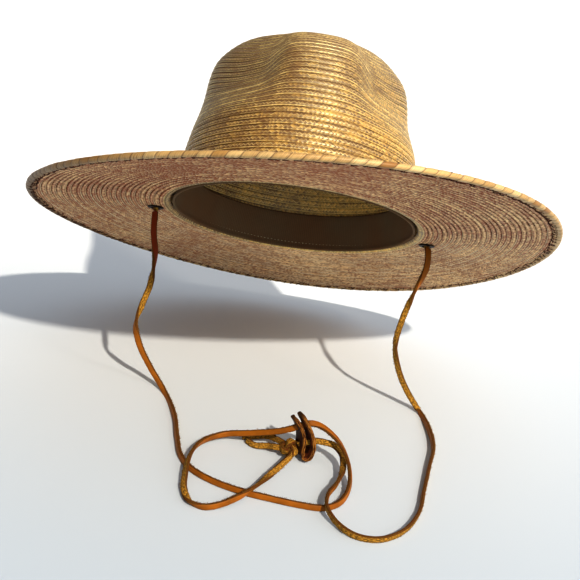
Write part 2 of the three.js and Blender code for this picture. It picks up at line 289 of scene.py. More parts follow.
def plait_material(name, light, dark, pale, seam, tones, weave, lip_share, seam_share, row_change, streak,
                   finer, relief, painted_left_shade, gloss, **numbers):
    """Palm leaf split into strands, plaited and sewn in rows: the strands cross each other on a slant, each
    has its own tone, a painted highlight along one edge and painted shade along the other, long streaks run
    with the row, and where one row is sewn under the next a pale lip of painted highlight stands over a thin
    broken painted shadow."""
    material, tree, shader = new_material(name, Specular_IOR_Level=gloss, **numbers)
    place = add_node(tree, "UVMap", uv_map="rows")
    parts = add_node(tree, "SeparateXYZ", [place])
    along, rows = parts.outputs[0], parts.outputs[1]
    row = add_node(tree, "Math", [rows], operation="FLOOR")
    phase = add_node(tree, "Math", [rows], operation="FRACT")
    # Strands rise and fall across the row, and at each crossing one of the two lies over the other; no row
    # starts where the last one did and no strand is quite as wide as the next
    row_tone = add_node(tree, "TexWhiteNoise", {"W": row}, noise_dimensions="1D").outputs[0]
    uneven_place = add_node(tree, "CombineXYZ", [along, row])
    uneven = add_node(tree, "TexNoise", {"Vector": uneven_place, "Scale": 0.37, "Detail": 1.0},
                      noise_dimensions="2D")
    shifted = add_node(tree, "Math", [row_tone, 7.0, along], operation="MULTIPLY_ADD")
    shifted = add_node(tree, "Math", [uneven, 1.6, shifted], operation="MULTIPLY_ADD")
    ways = [add_node(tree, "Math", [phase, slant, shifted], operation="MULTIPLY_ADD")
            for slant in (1.5, -1.5)]
    strands = [add_node(tree, "Math", [way], operation="FLOOR") for way in ways]
    shares = [add_node(tree, "Math", [way], operation="FRACT") for way in ways]
    both = add_node(tree, "Math", strands, operation="ADD")
    over = add_node(tree, "Math", [both, 2.0], operation="FLOORED_MODULO")
    strand, share = (
        add_node(tree, "Mix", {"Factor": over, "A": rising, "B": falling}, data_type="FLOAT")
        for rising, falling in (strands, shares))
    # Painted shade lies along one side of each strand, and a thin painted highlight along the other
    gap = add_node(tree, "MapRange", {"Value": share, "From Min": 0.68, "From Max": 0.92})
    off_edge = add_node(tree, "Math", [share, 0.16], operation="SUBTRACT")
    off_edge = add_node(tree, "Math", [off_edge], operation="ABSOLUTE")
    edge = add_node(tree, "MapRange", {"Value": off_edge, "From Min": 0.16, "From Max": 0.06})
    # Wear breaks the seams and the crossings up
    body = add_node(tree, "TexCoord").outputs["Object"]
    wear = add_node(tree, "TexNoise", {"Vector": body, "Scale": 160.0, "Detail": 2.0})
    wear = add_node(tree, "MapRange", {"Value": wear, "From Min": 0.38, "From Max": 0.58, "To Min": 0.4})
    # Painted shadow where each row is sewn under the next
    sewn = add_node(tree, "MapRange", {"Value": phase, "From Min": 1 - seam_share, "From Max": 0.97})
    sewn = add_node(tree, "Math", [sewn, wear], operation="MULTIPLY")
    # The painted shadows of the crossings and seams are half as deep at the flat front as towards the sides
    position = add_node(tree, "SeparateXYZ", [body])
    sideways, upward = position.outputs[0], position.outputs[2]
    off_front = add_node(tree, "Math", [sideways, FLAT_MIDDLE], operation="SUBTRACT")
    off_front = add_node(tree, "Math", [off_front], operation="ABSOLUTE")
    painted_shadow_depth = add_node(tree, "MapRange", {
        "Value": off_front, "From Min": 0.015, "From Max": 0.055, "To Min": 0.5})
    gap, sewn = (add_node(tree, "Math", [line, painted_shadow_depth], operation="MULTIPLY") for line in (gap, sewn))
    # A pale lip of painted highlight at the start of each row, brighter on some rows than others
    stands_out = add_node(tree, "MapRange", {"Value": row_tone, "To Min": 0.3})
    lip = add_node(tree, "MapRange", {"Value": phase, "From Min": lip_share, "From Max": 0.05})
    lip = add_node(tree, "Math", [lip, stands_out], operation="MULTIPLY")
    # Long streaks run with the row, and broad patches lie over several rows
    row_and_way = add_node(tree, "Math", [over, 0.5, row], operation="MULTIPLY_ADD")
    which = add_node(tree, "CombineXYZ", [strand, row_and_way])
    tone = add_node(tree, "TexWhiteNoise", [which], noise_dimensions="2D")
    far_along = add_node(tree, "Math", [along, 0.05], operation="MULTIPLY")
    across = add_node(tree, "Math", [rows, finer], operation="MULTIPLY")
    streak_place = add_node(tree, "CombineXYZ", [far_along, across])
    streaks = add_node(tree, "TexNoise", {"Vector": streak_place, "Scale": 1.0, "Detail": 3.0},
                       noise_dimensions="2D")
    patches = add_node(tree, "TexNoise", {"Vector": body, "Scale": 18.0, "Detail": 2.0})
    streaked = add_node(tree, "MapRange", {
        "Value": streaks, "From Min": 0.4, "From Max": 0.72, "To Max": streak})
    # Painted shade: the straw is darker towards the left side, and darker still on the top
    painted_left_shade_mask = add_node(tree, "MapRange", {
        "Value": sideways, "From Min": 0.005, "From Max": -0.07, "To Max": painted_left_shade})
    painted_top_shade = add_node(tree, "MapRange", {
        "Value": upward, "From Min": 0.05, "From Max": 0.12, "To Max": 0.6})
    # How dark the straw is: a sum of its strand's tone, its row's, the crossing's and all of these, painted
    # shade on the left and top included
    darkness = add_node(tree, "Math", [tone.outputs[0], tones, -tones / 2], operation="MULTIPLY_ADD")
    for part, weight in ((row_tone, row_change), (over, weave * 0.3), (streaked, 1.0), (patches, 0.9),
                         (painted_left_shade_mask, 1.0), (painted_top_shade, 1.0)):
        darkness = add_node(tree, "Math", [part, weight, darkness], operation="MULTIPLY_ADD")
    darkness = add_node(tree, "Math", [darkness, 0.25], operation="SUBTRACT")
    straw = add_node(tree, "Mix", {"Factor": darkness, "A": light, "B": dark}, data_type="RGBA",
                     clamp_factor=True)
    crease = add_node(tree, "Math", [gap, weave], operation="MULTIPLY")
    creased = add_node(tree, "Math", [crease, wear], operation="MULTIPLY")
    creased = add_node(tree, "Mix", {"Factor": creased, "A": straw, "B": seam}, data_type="RGBA")
    edged = add_node(tree, "Math", [edge, weave], operation="MULTIPLY")
    edged = add_node(tree, "Math", [edged, lip], operation="MAXIMUM")
    edged = add_node(tree, "Math", [edged, wear], operation="MULTIPLY")
    creased = add_node(tree, "Mix", {"Factor": edged, "A": creased, "B": pale}, data_type="RGBA")
    sewn_share = add_node(tree, "Math", [sewn, 0.95], operation="MULTIPLY")
    whole = add_node(tree, "Mix", {"Factor": sewn_share, "A": creased, "B": seam}, data_type="RGBA")
    # Grooves between strands and rows give no sheen; elsewhere it is the shader's own number
    groove = add_node(tree, "Math", [crease, sewn], operation="MAXIMUM")
    sheen = add_node(tree, "MapRange", {
        "Value": groove, "From Min": 0.1, "From Max": 0.7, "To Min": gloss, "To Max": 0.0})
    tree.links.new(sheen.outputs[0], shader.inputs["Specular IOR Level"])
    height = add_node(tree, "Math", [over, 0.5, gap], operation="MULTIPLY_ADD")
    height = add_node(tree, "Math", [height, -1.0], operation="MULTIPLY")
    colour_and_relief(tree, shader, whole, height, 1.0, relief)
    return material


def smooth_table(table, place):
    """Points of a smooth curve through a table's rows, at places counted in rows."""
    ends = np.vstack([2 * table[0] - table[1], table, 2 * table[-1] - table[-2]])
    start = np.clip(np.floor(place).astype(int), 0, len(table) - 2)
    share = (place - start)[..., None]
    before, here, after, beyond = (ends[start + i] for i in range(4))
    square = 2 * before - 5 * here + 4 * after - beyond
    cube = 3 * here - before - 3 * after + beyond
    return 0.5 * (2 * here + (after - before) * share + square * share ** 2 + cube * share ** 3)


def oval(turn, side, front, height):
    """A point of an oval round the crown's axis; the turn runs from the front towards +X."""
    return np.stack(np.broadcast_arrays(side * np.sin(turn), -front * np.cos(turn), height), -1)


def crown_surface(turn, count):
    """The crown's outside: pinched at both sides of the front, dented along the top and lower in front."""
    height, side, front, back = np.moveaxis(smooth_table(CROWN_RINGS, count), -1, 0)
    point = oval(turn, side, np.where(np.cos(turn) > 0, front, back), height)
    x, y, z = np.moveaxis(point, -1, 0)
    z = z - FRONT_DROP * (1 - smooth(-80, 10, y)) * smooth(40, 110, z)
    width = side / CROWN_SIDE
    from_front = np.degrees((turn + np.pi) % (2 * np.pi) - np.pi)
    angle, inner, outer, depth = (np.where(from_front < 0, LEFT_PINCH[name], RIGHT_PINCH[name])
                                  for name in ("angle", "inner", "outer", "depth"))
    off = np.abs(from_front) - angle
    steep = np.exp(-(np.abs(off) / inner) ** STEEP)
    gentle = np.exp(-(np.abs(off) / outer) ** GENTLE)
    bell = np.where(off < 0, steep, gentle)
    # A pinch grows shallower where the crown narrows, and is gone at its middle
    fade = (0.25 + 0.75 * smooth(0.45, 0.8, width)) * smooth(0.1, 0.5, width)
    inward = depth * bell * fade * smooth(*PINCH_RISE, height)
    x = x - inward * np.sin(turn)
    y = y + inward * np.cos(turn) * 0.9
    along = (y - DENT["centre"]) / DENT["length"]
    dent_width = DENT["width"] * (1 - DENT["taper"] * np.clip(0.5 - 0.5 * along, 0, 1))
    z = z - DENT["depth"] * (1 - smooth(0.35, 1.15, np.hypot(x / dent_width, along)))
    return np.stack([x, y, z], -1)


def crown_meridians(turns):
    """Dense lines up the crown's outside, from the foot's edge to the top, one for each turn."""
    # The foot lies out on the brim, then bends up into the wall
    bend = np.linspace(-np.pi / 2, -np.pi, 9)
    middle = FOOT_BEND - 0.6
    outs = np.concatenate([np.linspace(SEAM_OUT, middle, 4)[:-1], middle + FOOT_BEND * np.cos(bend)])
    heights = np.concatenate([np.full(3, STRAW), STRAW + FOOT_BEND * (1 + np.sin(bend))])
    foot = oval(turns[None, :], CROWN_SIDE + outs[:, None], CROWN_FRONT + outs[:, None], heights[:, None])
    counts = np.linspace(0.28, len(CROWN_RINGS) - 1, 260)
    return np.concatenate([foot, crown_surface(turns[None, :], np.repeat(counts[:, None], len(turns), 1))])


def row_places(rows, profile):
    """Where the loops of each row lie, in rows, and how far each stands out."""
    places = np.array([row + share for row in range(rows) for share, height in profile])
    heights = np.array([height for row in range(rows) for share, height in profile])
    return places, heights


def row_spans(starts, ends, rows):
    """The row that each strip lies in, and the strip's two places within it."""
    strip_rows = np.clip(np.floor((starts + ends) / 2).astype(int), 0, rows - 1)
    low = np.clip(starts, strip_rows, strip_rows + ROW_END)
    high = np.clip(ends, strip_rows, strip_rows + ROW_END)
    return strip_rows, low, high


def lay_crown(sizes):
    """The crown's loops, from the inside of the top down to the foot and up the outside."""
    steps = sizes.around
    lines = crown_meridians(all_round(steps))
    outward = np.cross(np.roll(lines, -1, 1) - np.roll(lines, 1, 1), np.gradient(lines, axis=0))
    # The lines meet at the top, so the way outward there is the one just below it
    outward[-1] = outward[-3]
    outward /= np.linalg.norm(outward, axis=-1, keepdims=True) + 1e-9
    lengths = np.cumsum(np.linalg.norm(np.diff(lines, axis=0, prepend=lines[:1]), axis=-1), axis=0)
    rows = round(float(lengths[-1].mean()) * MM / sizes.crown_row)
    places, heights = row_places(rows, CROWN_ROW_PROFILE)

    def sample(field, at):
        """The field at the same share of every line up the crown."""
        wanted = at[:, None] / rows * lengths[-1][None, :]
        return np.stack([np.stack([np.interp(wanted[:, k], lengths[:, k], field[:, k, axis])
                                   for axis in range(3)], -1) for k in range(steps)], 1)

    places = np.concatenate([[0.0], places])
    heights = np.concatenate([[-0.1], heights])
    outside = sample(lines, places) + sample(outward, places) * heights[:, None, None]
    # Inside, each row shows only a low ridge at its seam
    inner_places = np.concatenate([[0.0], np.arange(rows) + 0.02, np.arange(rows) + 0.5])
    inner_places.sort()
    inner_heights = np.where(inner_places % 1 < 0.1, 0.25, 0.0) - STRAW
    inside = sample(lines, inner_places) + sample(outward, inner_places) * inner_heights[:, None, None]
    loops = np.concatenate([inside[::-1], outside])
    round_of_row = np.linalg.norm(np.diff(sample(lines, np.arange(rows) + 0.5), axis=1), axis=-1).sum(1)
    repeats = np.maximum(8, np.round(round_of_row * MM / sizes.plait_pitch))
    starts = np.concatenate([inner_places[::-1], places])
    ends = np.concatenate([starts[1:], [rows]])
    strip_rows, low, high = row_spans(starts, ends, rows)
    top = lines[-1].mean(0)
    poles = [top - (0, 0, STRAW), top + (0, 0, 0.1)]
    return loft("crown_plait", loops, repeats[strip_rows], (low, high), False, poles)


def rim_lift(turn):
    """The rim's gentle wave: how far it rises or falls from the level of the opening."""
    return -6.2 + 3 * np.cos(turn) - 2.8 * np.cos(2 * turn) + 4.7 * np.sin(turn) + 4 * np.sin(2 * turn)


def brim_lift(turn, share):
    """How far the brim has risen at a share of its width: none by the crown, then more and more."""
    return rim_lift(turn) * np.maximum(0, (share - LEVEL_SHARE) / (1 - LEVEL_SHARE)) ** 1.2


def brim_point(turn, share, height):
    """A point of the brim: share 0 at the crown's foot and 1 inside the edging."""
    side = CROWN_SIDE + SEAM_OUT + share * (RIM_SIDE - UNDER_EDGING - CROWN_SIDE - SEAM_OUT)
    front = CROWN_FRONT + SEAM_OUT + share * (RIM_FRONT - UNDER_EDGING - CROWN_FRONT - SEAM_OUT)
    return oval(turn, side, front, height + brim_lift(turn, share))


def lay_brim(sizes):
    """The brim's loops: out along the underside, back along the top."""
    turns = all_round(round(sizes.around * 1.5))
    rows = round((RIM_SIDE - CROWN_SIDE) * MM / sizes.brim_row)
    places, heights = row_places(rows, BRIM_ROW_PROFILE)
    places = np.concatenate([places, [rows]])
    heights = np.concatenate([heights, [-0.3]])
    shares = (places / rows)[:, None]
    under = brim_point(turns[None, :], shares, -heights[:, None])
    over = brim_point(turns[None, :], shares, STRAW + heights[:, None])
    loops = np.concatenate([under, over[::-1]])
    starts = np.concatenate([places, places[::-1]])
    strip_rows, low, high = row_spans(starts, np.roll(starts, -1), rows)
    middle = (CROWN_SIDE + CROWN_FRONT) / 2 + (strip_rows + 0.5) / rows * (RIM_SIDE - CROWN_SIDE)
    repeats = np.round(2 * np.pi * middle * MM / sizes.plait_pitch)
    return loft("brim_plait", loops, repeats, (low, high), True)


class FEDORA_OT_crown(bpy.types.Operator):
    """Lay the crown's plait, row by row, over its pinched and dented shape"""

    bl_idname = "fedora.crown"
    bl_label = "Crown"

    def execute(self, context):
        scene = context.scene
        colours = scene.fedora_colours
        crown = lay_crown(scene.fedora_sizes)
        # The lacquer gives the crown its long soft highlights
        # The pale colour is painted highlight on the strand edges and row lips, the seam colour is painted
        # shadow in the seams, and the number for the left side sets its painted shade
        material = plait_material(
            "lacquered_palm_plait", colours.crown_light, colours.crown_dark,
            pale=linear("#fde49c"), seam=linear("#301804"), tones=0.55, weave=0.6, lip_share=0.2,
            seam_share=0.21, row_change=0.25, streak=0.4, finer=1.7, relief=0.0003, painted_left_shade=0.45, gloss=1.0,
            Roughness=0.42, IOR=1.79, Specular_Tint=(1.0, 1.0, 0.74, 1.0))
        finish_piece(crown, material, "crown_straw", "crown_side", "crown_tip")
        return {"FINISHED"}


class FEDORA_OT_brim(bpy.types.Operator):
    """Lay the brim's plait, row by row, from the crown's foot to the rim"""

    bl_idname = "fedora.brim"
    bl_label = "Brim"

    def execute(self, context):
        scene = context.scene
        colours = scene.fedora_colours
        brim = lay_brim(scene.fedora_sizes)
        up = Vector(to_part((0, 0, 1)))
        middles = [Vector(to_part((side * EYELET_X, EYELET_Y, 1))) for side in (-1, 1)]
        cut_holes(brim, [hole_cutter(middle, up, radius=EYELET_HOLE_RADIUS * MM, depth=12 * MM)
                         for middle in middles])
        # Without lacquer the brim is matt and its strands keep their uneven red-brown tones
        # The pale colour is painted highlight on the strand edges and row lips, the seam colour is painted
        # shadow in the seams, and the number for the left side sets its painted shade
        material = plait_material(
            "matt_palm_plait", colours.brim_light, colours.brim_dark,
            pale=linear("#fff2cc"), seam=linear("#34140a"), tones=0.9, weave=0.5, lip_share=0.26,
            seam_share=0.22, row_change=0.4, streak=0.5, finer=4.3, relief=0.0004, painted_left_shade=0.2, gloss=0.2,
            Roughness=0.6, IOR=1.5)
        finish_piece(brim, material, "brim_straw", "brim")
        return {"FINISHED"}


# The lace's route in the part's frame, as in the part's source; a lace on its edge lies a little higher
LYING = -128.0
LEFT_STRAND = [
    (-91.5, 8.5, -13), (-90.5, 2, -22), (-87.5, -5, -34.5), (-88, -12, -54), (-92, -15, -69),
    (-94.5, -16, -82.5), (-90.5, -15, -98), (-82.5, -12, -114.5), (-72, -16, -127.6), (-60, -49.5, LYING),
    (-55, -77, LYING), (-50, -99, LYING), (-42, -112, LYING), (-27.5, -122.5, LYING), (-9.5, -129.5, LYING),
    (8.5, -133, LYING), (25.5, -135.5, LYING), (39, -135.5, LYING), (48, -129.5, LYING), (54, -117.5, -127.5),
    (56, -104, -124.5), (53.5, -92, -118.5), (47, -84, -111.5), (37.5, -80.5, -105.5), (31.5, -80, -103.5),
    (27.5, -80, -103.5), (21, -80, -106.5)]
LOOP_STRAND = [
    (17.5, -80, -108.5), (11.5, -79.5, -111.5), (4.5, -78, -114.5), (-9.5, -74, -120), (-24, -72, -124),
    (-34.5, -78.5, -125), (-41, -89.5, -124.5), (-44.5, -105.5, -124.5), (-45, -123, -126),
    (-44, -135.5, -127.6), (-39, -147.5, LYING), (-30.5, -150.5, LYING), (-21.5, -147.5, -127),
    (-12, -141, -125), (-4.5, -131.5, -124.5), (4, -116, -125), (12, -100, -125), (18, -87.5, -124.5),
    (18.2, -84.4, -124.3)]
RIGHT_STRAND = [
    (93, 6, -10), (93, 0, -19), (87.5, -5, -36), (83, -6, -56.5), (82, -4, -76), (88.5, 1, -97.5),
    (98, 5, -115), (108, 4, -127.6), (113, -19, -127.6), (114, -47.5, -127), (108.5, -75.5, -127.5),
    (103, -102.5, LYING), (97.5, -128, LYING), (86, -149.5, LYING), (71.5, -160, LYING),
    (58.5, -159.5, LYING), (48, -152.5, -126.5), (41.5, -140.5, -124.5), (42, -126, -124.5),
    (47.5, -112.5, -124.5), (51.5, -95.5, -124), (50.5, -83, -121), (45, -79, -117.5), (38.5, -79.5, -116),
    (33, -80, -115.5), (28, -80, -117), (24, -80, -118.5), (22, -80, -119.7)]
UPPER_TAIL = [(14.7, -76.8, -123.2), (12.7, -74.9, -123), (3.4, -66, -125), (-5.3, -64.7, -127),
              (-13.5, -65.9, LYING)]
LOWER_TAIL = [(13.7, -79.9, -124), (8.4, -79.7, -124), (3.9, -76.3, -126), (-5.2, -74.2, -128),
              (-10.1, -69.6, LYING)]
LEAVING = [(92, 15.1, 1), (92, 16.2, 7.5), (91, 22, 10.8), (88.5, 31, 9.5), (84.5, 42, 5.8)]
OFF_CROWN = 8.5

# Where the lace's grain side faces, point by point of each strand; between them it turns evenly
TO_VIEWER, TO_BACK, TO_LEFT, TO_RIGHT = (0, -1, 0.2), (0, 1, 0.1), (-1, 0, 0.1), (1, 0, 0.1)
LEFT_FACING = {0: TO_VIEWER, 1.6: TO_VIEWER, 2.4: TO_RIGHT, 3: TO_BACK, 3.7: TO_BACK, 4.7: TO_LEFT,
               5.6: TO_VIEWER, 8: (-0.6, -1, 0.3), 12: (-0.8, -1, 0.2), 15: TO_VIEWER, 17: (0.2, -1, 0.2),
               19: (1, -0.3, 0.2), 21: (1, 0.1, 0.5), 23: (0.3, -0.2, 1), 26: TO_VIEWER}
LOOP_FACING = {0: TO_VIEWER, 3: (0, -1, 0.4), 5: (0.6, -0.8, -0.1), 7: (1, 0.1, -0.5), 9: (0.6, 0.3, -1),
               10.2: (-0.6, -0.6, -0.6), 11: (0, -1, 0.1), 13: (0.6, -1, 0.1), 14.5: (0.6, -0.6, -0.9),
               16: (-0.8, 0.4, -0.6), 18: (-1, 0.2, -0.2)}
RIGHT_FACING = {0: TO_VIEWER, 1: TO_VIEWER, 2: (1, -0.2, 0), 2.8: TO_BACK, 3.6: (0.4, 1, 0), 4.1: (1, 0.3, 0),
                4.8: (0.5, 1, 0), 6: TO_BACK, 8: (-1, 0.3, 0.2), 11: (-1, 0.2, 0.1), 13: (-0.5, 0.8, 0.2),
                15: (0.1, 1, 0.1), 17: (1, 0.1, 0.2), 19: (1, -0.5, -0.2), 21: (-0.5, 0.4, -1),
                23: (0, 1, -0.4), 27: TO_BACK}


def lace_curve(points, step=1.2):
    """Evenly spaced points of a smooth open curve, and the place of each along the given points."""
    points = np.asarray(points, float)
    spans = np.sqrt(np.linalg.norm(np.diff(points, axis=0), axis=1))[:, None]
    slopes = np.diff(points, axis=0) / spans
    inner = (slopes[:-1] * spans[1:] + slopes[1:] * spans[:-1]) / (spans[:-1] + spans[1:])
    slopes = np.vstack([slopes[:1], inner, slopes[-1:]])
    places = np.linspace(0, len(points) - 1, 24 * (len(points) - 1) + 1)
    start = np.minimum(places.astype(int), len(points) - 2)
    t = (places - start)[:, None]
    span = spans[start]
    dense = ((1 + 2 * t) * (1 - t) ** 2 * points[start] + t * (1 - t) ** 2 * span * slopes[start]
             + t * t * (3 - 2 * t) * points[start + 1] + t * t * (t - 1) * span * slopes[start + 1])
    lengths = np.concatenate([[0], np.linalg.norm(np.diff(dense, axis=0), axis=1).cumsum()])
    wanted = np.linspace(0, lengths[-1], round(lengths[-1] / step) + 1)
    even = np.stack([np.interp(wanted, lengths, dense[:, axis]) for axis in range(3)], 1)
    return even, np.interp(wanted, lengths, places), wanted


def facing_at(keys, places):
    """The facing at each place, turned evenly between the keyed ones."""
    marks = np.array(sorted(keys))
    vectors = np.array([keys[mark] for mark in marks], float)
    vectors /= np.linalg.norm(vectors, axis=1, keepdims=True)
    return np.stack([np.interp(places, marks, vectors[:, axis]) for axis in range(3)], 1)


# Section of the lace: share of the half width, share of the half thickness; first the grain side's corners,
# then an edge, the flesh side and the other edge
LACE_SECTION = np.array([
    (-0.84, 0.9), (-0.45, 1), (0, 1.02), (0.45, 1), (0.84, 0.9), (1, 0.4), (0.98, -0.45),
    (0.8, -1), (0.35, -0.92), (-0.35, -0.92), (-0.8, -1), (-0.98, -0.45), (-1, 0.4)])
GRAIN_CORNERS = 5
# How far its cut corners stray, in millimetres
LACE_RAGGED = 0.07
# Places round the section, in corners: the end of the grain side, and the flesh side's start, middle and end
GRAIN_END = 4.1
FLESH_START, FLESH_MIDDLE, FLESH_END = 6.7, 8.5, 10.3


def lace_frames(points, facing, closed=False):
    """The lace's way across and its way out at each point, square to its run."""
    if closed:
        run = np.roll(points, -1, 0) - np.roll(points, 1, 0)
    else:
        run = np.gradient(points, axis=0)
    run /= np.linalg.norm(run, axis=1, keepdims=True)
    out = facing - (facing * run).sum(1, keepdims=True) * run
    out /= np.linalg.norm(out, axis=1, keepdims=True)
    return np.cross(run, out), out


def ribbon(name, points, facing, width, thickness, ragged=0.0, closed=False, seed=3):
    """A flat lace along points in millimetres, its grain side towards facing."""
    across, out = lace_frames(points, facing, closed)
    sides = len(LACE_SECTION)
    rng = np.random.default_rng(seed)
    wear = rng.normal(0, ragged, (len(points), sides))
    wear[:, :GRAIN_CORNERS] *= 0.15
    half = np.stack([LACE_SECTION[:, 0] * width / 2, LACE_SECTION[:, 1] * thickness / 2], 1)
    reach = 1 + wear[..., None] / np.linalg.norm(half, axis=1)[None, :, None]
    section = across[:, None, :] * half[None, :, :1] + out[:, None, :] * half[None, :, 1:]
    rings = points[:, None, :] + section * reach
    rings[..., 2] = np.maximum(rings[..., 2], FLOOR_Z + 0.05)
    count = len(points)
    lengths = np.arange(count + 1) * float(np.linalg.norm(points[1] - points[0])) / width
    faces = []
    uv = []
    for i in range(count if closed else count - 1):
        ahead = (i + 1) % count
        for k in range(sides):
            after = (k + 1) % sides
            faces.append((i * sides + k, ahead * sides + k, ahead * sides + after, i * sides + after))
            low, high = k / sides, (k + 1) / sides
            uv += [(lengths[i], low), (lengths[i + 1], low), (lengths[i + 1], high), (lengths[i], high)]
    if not closed:
        faces.append(tuple(range(sides)))
        faces.append(tuple(reversed(range((count - 1) * sides, count * sides))))
        uv += [(0, 0.48)] * (2 * sides)
    return new_object(name, rings.reshape(-1, 3) * MM, faces, uv, "run")


def leather_material(name, grain, suede, edge, roughness):
    """Vegetable-tanned cowhide cut into a thong: the grain side is smooth with a low gloss and fine creases,
    the flesh side is fibrous and lighter, and the cut edges are raw."""
    material, tree, shader = new_material(name, IOR=1.5, Specular_IOR_Level=0.22)
    place = add_node(tree, "UVMap", uv_map="run")
    parts = add_node(tree, "SeparateXYZ", [place])
    along, around = parts.outputs[0], parts.outputs[1]
    body = add_node(tree, "TexCoord").outputs["Object"]
    blotch = add_node(tree, "TexNoise", {"Vector": body, "Scale": 70.0, "Detail": 3.0, "Roughness": 0.6})
    long_way = add_node(tree, "Math", [along, 2.4], operation="MULTIPLY")
    round_way = add_node(tree, "Math", [around, 24.0], operation="MULTIPLY")
    fibre_place = add_node(tree, "CombineXYZ", [long_way, round_way])
    fibres = add_node(tree, "TexNoise", {
        "Vector": fibre_place, "Scale": 1.0, "Detail": 4.0, "Roughness": 0.7}, noise_dimensions="2D")
    creases = add_node(tree, "TexVoronoi", {"Vector": body, "Scale": 800.0}, feature="DISTANCE_TO_EDGE")
    corners = len(LACE_SECTION)
    flesh_from = add_node(tree, "Math", [around, FLESH_START / corners], operation="GREATER_THAN")
    flesh_to = add_node(tree, "Math", [around, FLESH_END / corners], operation="LESS_THAN")
    flesh = add_node(tree, "Math", [flesh_from, flesh_to], operation="MULTIPLY")
    grain_side = add_node(tree, "Math", [around, GRAIN_END / corners], operation="LESS_THAN")
    shade = add_node(tree, "MapRange", {"Value": blotch, "From Min": 0.35, "From Max": 0.7, "To Max": 0.7})
    frayed = add_node(tree, "MapRange", {"Value": fibres, "From Min": 0.4, "From Max": 0.56})
    grain_dark = tuple(channel * 0.4 for channel in grain)
    suede_dark = tuple(channel * 0.24 for channel in suede)
    top = add_node(tree, "Mix", {"Factor": shade, "A": grain, "B": grain_dark}, data_type="RGBA")
    # Painted shade: the grain side turns a deeper red high on the left strand, below its eyelet and under the
    # brim
    position = add_node(tree, "SeparateXYZ", [body])
    at_left = add_node(tree, "Math", [position.outputs[0], 0.0], operation="LESS_THAN")
    painted_brim_shade = add_node(tree, "MapRange", {
        "Value": position.outputs[2], "From Min": -0.085, "From Max": -0.04, "To Max": 0.85})
    painted_brim_shade = add_node(tree, "Math", [painted_brim_shade, at_left], operation="MULTIPLY")
    top = add_node(tree, "Mix", {"Factor": painted_brim_shade, "A": top, "B": linear("#7a2408")}, data_type="RGBA")
    under = add_node(tree, "Mix", {"Factor": frayed, "A": suede, "B": suede_dark}, data_type="RGBA")
    cut = add_node(tree, "Mix", {"Factor": frayed, "A": edge, "B": suede_dark}, data_type="RGBA")
    sides = add_node(tree, "Mix", {"Factor": grain_side, "A": cut, "B": top}, data_type="RGBA")
    whole = add_node(tree, "Mix", {"Factor": flesh, "A": sides, "B": under}, data_type="RGBA")
    rough = add_node(tree, "Mix", {"Factor": grain_side, "A": 0.92, "B": roughness}, data_type="FLOAT")
    tree.links.new(rough.outputs[0], shader.inputs["Roughness"])
    height = add_node(tree, "Math", [creases, 0.5, fibres], operation="MULTIPLY_ADD")
    colour_and_relief(tree, shader, whole, height, 0.5, 0.0003)
    return material


FIBRE_RADIUS = 0.14


def fibre_tufts(name, points, facing, width, thickness, count, seed):
    """Loose fibres along the flesh side's two edges, each one a sliver with four faces."""
    across, out = lace_frames(points, facing)
    run = np.gradient(points, axis=0)
    run /= np.linalg.norm(run, axis=1, keepdims=True)
    rng = np.random.default_rng(seed)
    where = rng.integers(1, len(points) - 1, count)
    side = rng.choice([-1.0, 1.0], count)[:, None]
    spread = np.abs(rng.normal(0, 0.25, count))[:, None]
    across, out = across[where], out[where]
    root = points[where] + across * side * width * (0.47 - spread * 0.5) - out * thickness * 0.42
    lean = across * side * rng.uniform(0.2, 1, (count, 1)) - out * rng.uniform(0.0, 0.9, (count, 1))
    lean += run[where] * rng.normal(0, 0.8, (count, 1))
    lean /= np.linalg.norm(lean, axis=1, keepdims=True)
    tip = root + lean * rng.uniform(0.4, 1.5, (count, 1))
    aside = np.cross(lean, rng.normal(0, 1, (count, 3)))
    aside /= np.linalg.norm(aside, axis=1, keepdims=True)
    other = np.cross(lean, aside)
    base = [root + FIBRE_RADIUS * (aside * math.cos(a) + other * math.sin(a)) for a in (0, 2.1, 4.2)]
    corners = np.stack([*base, tip], 1).reshape(-1, 3)
    corners[:, 2] = np.maximum(corners[:, 2], FLOOR_Z + 0.02)
    first = np.arange(count)[:, None] * 4
    faces = np.concatenate([first + order for order in ([0, 2, 1], [0, 1, 3], [1, 2, 3], [2, 0, 3])])
    on_flesh = FLESH_MIDDLE / len(LACE_SECTION)
    uv = np.tile([(0.0, on_flesh), (0.1, on_flesh), (0.2, on_flesh)], (len(faces), 1))
    return new_object(name, corners * MM, faces.tolist(), uv, "run")


def lace_route():
    """The whole lace's points and its facings, from the knot round the hat's back to the knot again."""
    turn = np.radians(np.linspace(120, 240, 9))
    behind = oval(turn, CROWN_SIDE + OFF_CROWN, CROWN_FRONT + OFF_CROWN, STRAW + 2)
    hidden = np.vstack([LEAVING, behind, [(-x, y, z) for x, y, z in reversed(LEAVING)]])
    hidden_out = {0: (0.2, 1, 0.2), 2: (1, 0.4, 0.6), 4: (1, 0.5, 0.5), 9: (0, 1, 0.6), 14: (-1, 0.5, 0.5),
                  16: (-1, 0.4, 0.6), 18: (-0.2, 1, 0.2)}
    right = RIGHT_STRAND[::-1]
    points = np.vstack([right, to_part(hidden) / MM, LEFT_STRAND, LOOP_STRAND])
    last = len(right) - 1
    facing = {last - place: vector for place, vector in RIGHT_FACING.items()}
    start = len(right)
    for place, vector in hidden_out.items():
        facing[start + place] = tuple(to_part(np.array(vector)) / MM)
    start += len(hidden)
    facing.update({start + place: vector for place, vector in LEFT_FACING.items()})
    start += len(LEFT_STRAND)
    facing.update({start + place: vector for place, vector in LOOP_FACING.items()})
    return points, facing


def squarer(value):
    """Widens a round section's sines and cosines a little towards a square's."""
    return np.sign(value) * np.abs(value) ** 0.85


